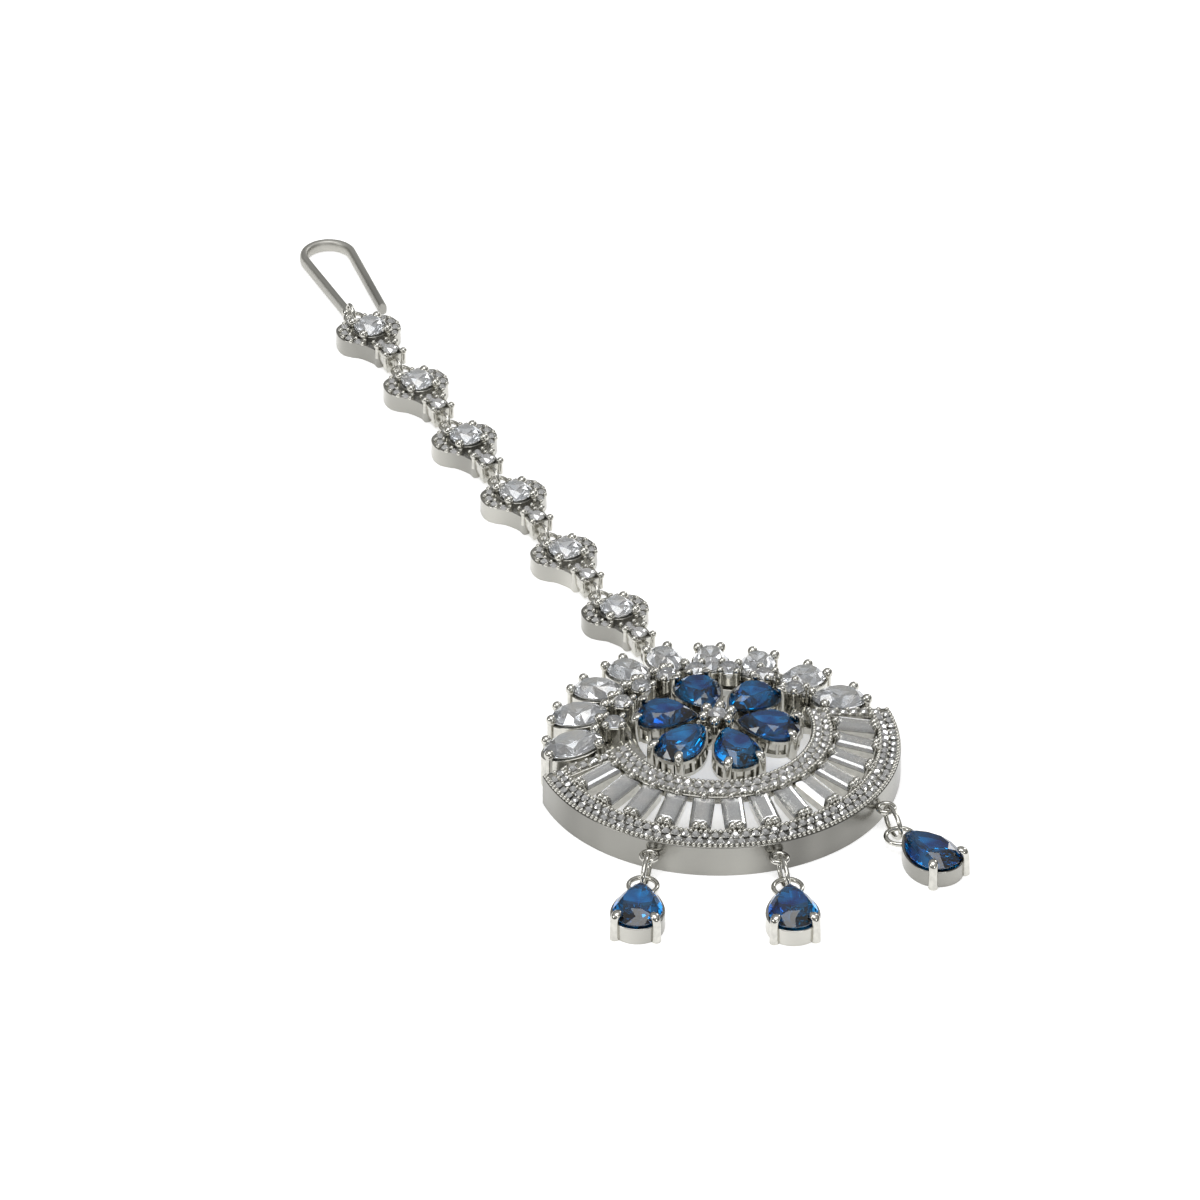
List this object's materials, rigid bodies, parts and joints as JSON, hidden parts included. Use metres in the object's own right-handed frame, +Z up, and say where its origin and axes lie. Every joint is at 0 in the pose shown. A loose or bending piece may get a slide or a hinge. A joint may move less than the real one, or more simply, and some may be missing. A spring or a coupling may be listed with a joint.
{
  "type": "maang tikka",
  "caption": "Hair parting jewel: a hair hook, a chain of stone-set links, a round pendant with a blue stone flower, a baguette crescent and an oval arch, and small drops.",
  "frame": {"origin": "middle of the jewel's footprint, on the surface that it lies on", "axes": "+Y from the drops towards the hair hook, +Z up off the surface and out of the stones' tables"},
  "size_m": [0.0374, 0.1381, 0.0074],
  "materials": {
    "rhodium_metal": "polished rhodium plate over brass",
    "clear_stone": "clear cut stone, polished facets",
    "blue_stone": "deep sapphire blue cut stone, polished facets"
  },
  "bodies": {
    "root": {"pendant_frame": "rhodium_metal", "baguette_1": "clear_stone", "baguette_2": "clear_stone", "baguette_3": "clear_stone", "baguette_4": "clear_stone", "baguette_5": "clear_stone", "baguette_6": "clear_stone", "baguette_7": "clear_stone", "baguette_8": "clear_stone", "baguette_9": "clear_stone", "baguette_10": "clear_stone", "baguette_11": "clear_stone", "baguette_12": "clear_stone", "baguette_13": "clear_stone", "arch_stone_1": "clear_stone", "arch_stone_2": "clear_stone", "arch_stone_3": "clear_stone", "arch_stone_4": "clear_stone", "arch_stone_5": "clear_stone", "arch_stone_6": "clear_stone", "arch_stone_7": "clear_stone", "arch_stone_8": "clear_stone", "arch_stone_9": "clear_stone", "petal_1": "blue_stone", "petal_2": "blue_stone", "petal_3": "blue_stone", "petal_4": "blue_stone", "petal_5": "blue_stone", "petal_6": "blue_stone", "jump_ring_1": "rhodium_metal", "drop_setting_1": "rhodium_metal", "drop_stone_1": "blue_stone", "jump_ring_2": "rhodium_metal", "drop_setting_2": "rhodium_metal", "drop_stone_2": "blue_stone", "jump_ring_3": "rhodium_metal", "drop_setting_3": "rhodium_metal", "drop_stone_3": "blue_stone", "link_1": "rhodium_metal", "link_stone_1": "clear_stone", "link_2": "rhodium_metal", "link_stone_2": "clear_stone", "link_3": "rhodium_metal", "link_stone_3": "clear_stone", "link_4": "rhodium_metal", "link_stone_4": "clear_stone", "link_5": "rhodium_metal", "link_stone_5": "clear_stone", "link_6": "rhodium_metal", "link_stone_6": "clear_stone", "hair_hook": "rhodium_metal"}
  },
  "joints": []
}
